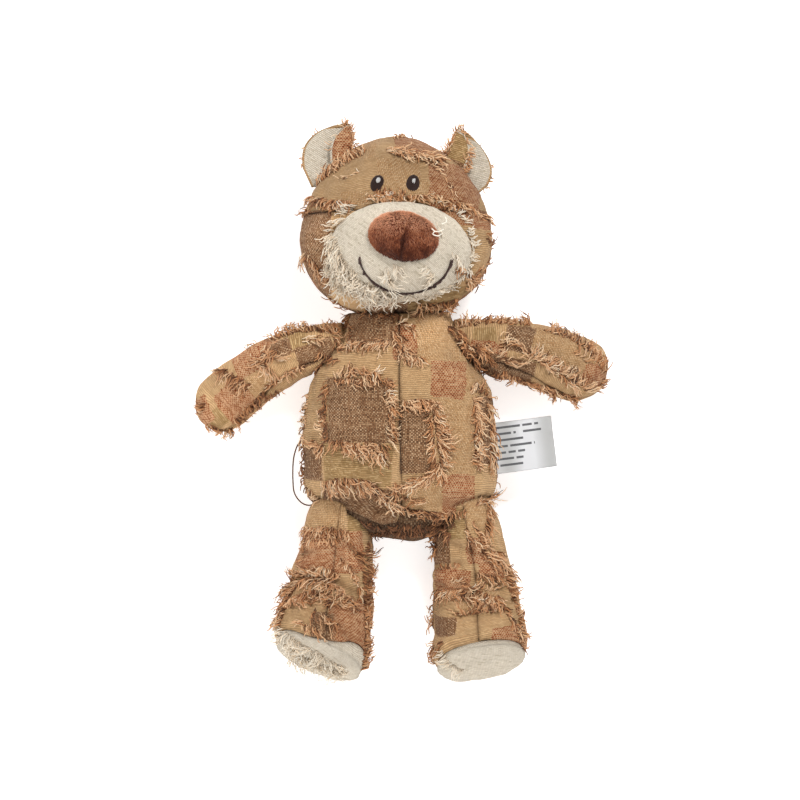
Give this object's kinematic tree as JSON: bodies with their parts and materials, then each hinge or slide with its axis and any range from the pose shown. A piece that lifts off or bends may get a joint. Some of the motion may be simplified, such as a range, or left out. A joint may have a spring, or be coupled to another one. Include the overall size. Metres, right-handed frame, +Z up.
{
  "type": "patchwork teddy bear",
  "caption": "Threadbare stuffed teddy bear of patchwork cloth with frayed threads, cream muzzle and soles, plush nose and a squeaker, lying on its back.",
  "frame": {"origin": "middle of the bear's outline on the surface it lies on, under its back", "axes": "+Z up out of the face and belly, +Y from the feet to the head, +X to the bear's own left"},
  "size_m": [0.24, 0.3241, 0.116],
  "materials": {
    "patchwork_cloth": "coarse two-tone jacquard weave in tan, rust and brown blocks, with long clipped floats frayed into fringes",
    "cream_cloth": "off-white ribbed weave with a frayed thread fringe",
    "nose_plush": "short red-brown plush",
    "dark_embroidery": "glossy dark satin stitching with small white highlights",
    "polyester_fibre": "loose white fibre filling",
    "squeaker_plastic": "thin translucent blow-moulded plastic",
    "satin_tape": "silvery white woven satin tape, plain print bars without words"
  },
  "bodies": {
    "root": {"head_forehead": "patchwork_cloth", "head_cheek_left": "patchwork_cloth", "head_cheek_right": "patchwork_cloth", "head_back_left": "patchwork_cloth", "head_back_right": "patchwork_cloth", "muzzle": "cream_cloth", "head_stuffing": "polyester_fibre", "nose": "nose_plush", "eye_left": "dark_embroidery", "eye_right": "dark_embroidery", "smile": "dark_embroidery", "ear_left_front": "cream_cloth", "ear_left_back": "patchwork_cloth", "ear_right_front": "cream_cloth", "ear_right_back": "patchwork_cloth", "arm_left_front": "patchwork_cloth", "arm_left_back": "patchwork_cloth", "arm_left_stuffing": "polyester_fibre", "arm_right_front": "patchwork_cloth", "arm_right_back": "patchwork_cloth", "arm_right_stuffing": "polyester_fibre", "sole_left": "cream_cloth", "leg_left_outer": "patchwork_cloth", "leg_left_inner": "patchwork_cloth", "leg_left_stuffing": "polyester_fibre", "sole_right": "cream_cloth", "leg_right_outer": "patchwork_cloth", "leg_right_inner": "patchwork_cloth", "leg_right_stuffing": "polyester_fibre", "torso_front_left": "patchwork_cloth", "torso_front_right": "patchwork_cloth", "torso_back_left": "patchwork_cloth", "torso_back_right": "patchwork_cloth", "torso_base": "patchwork_cloth", "squeaker_bladder": "squeaker_plastic", "squeaker_reed": "squeaker_plastic", "torso_stuffing": "polyester_fibre", "care_label": "satin_tape"}
  },
  "joints": []
}
